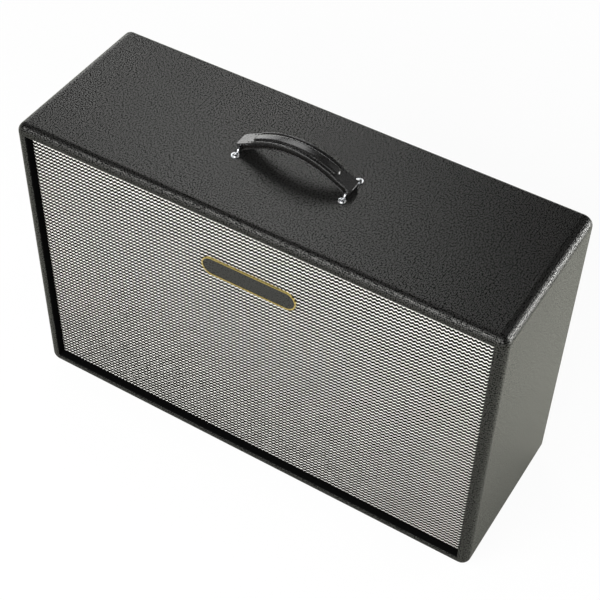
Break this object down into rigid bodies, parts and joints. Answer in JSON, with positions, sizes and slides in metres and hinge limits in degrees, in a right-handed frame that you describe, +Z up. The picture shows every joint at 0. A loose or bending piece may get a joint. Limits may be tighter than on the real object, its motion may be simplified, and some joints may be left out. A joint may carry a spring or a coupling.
{
  "type": "guitar speaker cabinet",
  "caption": "Closed-back guitar speaker cabinet in black grained vinyl, with a recessed woven grille, a strap handle on wire loops and a recessed rear jack dish.",
  "frame": {"origin": "on the floor under the middle of the cabinet", "axes": "+Z up, +X to the right seen from the front, the grille faces -Y"},
  "size_m": [0.75, 0.26, 0.547],
  "materials": {
    "ply": "birch ply, bare inside",
    "vinyl": "black grained vinyl",
    "grille_weave": "open weave of white and black yarn",
    "hook_and_loop": "hook and loop tape",
    "badge": "black with a gold-coloured rim",
    "handle_leather": "black, semi-gloss, stitched",
    "handle_filler": "dense filler",
    "chrome": "bright plating",
    "plated_steel": "zinc plated",
    "black_screws": "black oxide",
    "cup_washers": "nickel plated",
    "dish_steel": "black powder coat",
    "socket_plastic": "black moulding",
    "foot_rubber": "matt black",
    "basket_steel": "pressed steel, grey paint",
    "gasket_cork": "cork",
    "ferrite": "sintered ferrite",
    "cone_paper": "pulp paper",
    "spider_cloth": "treated cloth",
    "coil_copper": "copper wire on a former",
    "terminal_board": "fibre board with tinned tags",
    "lead_sheath": "insulated twin lead",
    "clip_nylon": "nylon"
  },
  "bodies": {
    "cabinet": {"top_panel": "ply", "bottom_panel": "ply", "left_side_panel": "ply", "right_side_panel": "ply", "baffle_board": "ply", "rear_panel": "ply", "centre_brace": "ply", "baffle_cleats": "ply", "rear_cleats": "ply", "grille_frame": "ply", "vinyl_covering": "vinyl", "rear_panel_vinyl": "vinyl", "grille_cloth": "grille_weave", "grille_hook_pads": "hook_and_loop", "grille_loop_pads": "hook_and_loop", "badge_plate": "badge", "handle_loop_left": "chrome", "handle_loop_right": "chrome", "handle_screws": "chrome", "jack_nuts": "chrome", "handle_tee_nuts": "plated_steel", "foot_screws": "plated_steel", "foot_washers": "plated_steel", "baffle_screws": "plated_steel", "speaker_bolts": "plated_steel", "speaker_tee_nuts": "plated_steel", "left_front_plate": "plated_steel", "right_front_plate": "plated_steel", "left_back_plate": "plated_steel", "right_back_plate": "plated_steel", "rear_panel_screws": "black_screws", "jack_dish_screws": "black_screws", "rear_cup_washers": "cup_washers", "jack_dish": "dish_steel", "input_jack": "socket_plastic", "link_jack": "socket_plastic", "rubber_feet": "foot_rubber", "left_basket": "basket_steel", "right_basket": "basket_steel", "left_gasket": "gasket_cork", "right_gasket": "gasket_cork", "left_magnet": "ferrite", "right_magnet": "ferrite", "left_surround": "cone_paper", "right_surround": "cone_paper", "left_spider": "spider_cloth", "right_spider": "spider_cloth", "speaker_terminals": "terminal_board", "jack_lead": "lead_sheath", "link_lead": "lead_sheath", "cable_clips": "clip_nylon"},
    "handle": {"handle_cover": "handle_leather", "handle_lining": "handle_leather", "handle_core": "handle_filler"},
    "left_cone_assembly": {"left_cone": "cone_paper", "left_dust_cap": "cone_paper", "left_voice_coil": "coil_copper"},
    "right_cone_assembly": {"right_cone": "cone_paper", "right_dust_cap": "cone_paper", "right_voice_coil": "coil_copper"}
  },
  "joints": [
    {"name": "handle_lift", "type": "slide", "parent": "cabinet", "child": "handle", "axis": [0, 0, 1], "range_m": [0, 0.0025]},
    {"name": "left_cone_travel", "type": "slide", "parent": "cabinet", "child": "left_cone_assembly", "axis": [0, -1, 0], "range_m": [-0.002, 0.002], "stiffness_N_per_m": 4000, "deforming": ["left_surround", "left_spider"]},
    {"name": "right_cone_travel", "type": "slide", "parent": "cabinet", "child": "right_cone_assembly", "axis": [0, -1, 0], "range_m": [-0.002, 0.002], "stiffness_N_per_m": 4000, "deforming": ["right_surround", "right_spider"]}
  ]
}
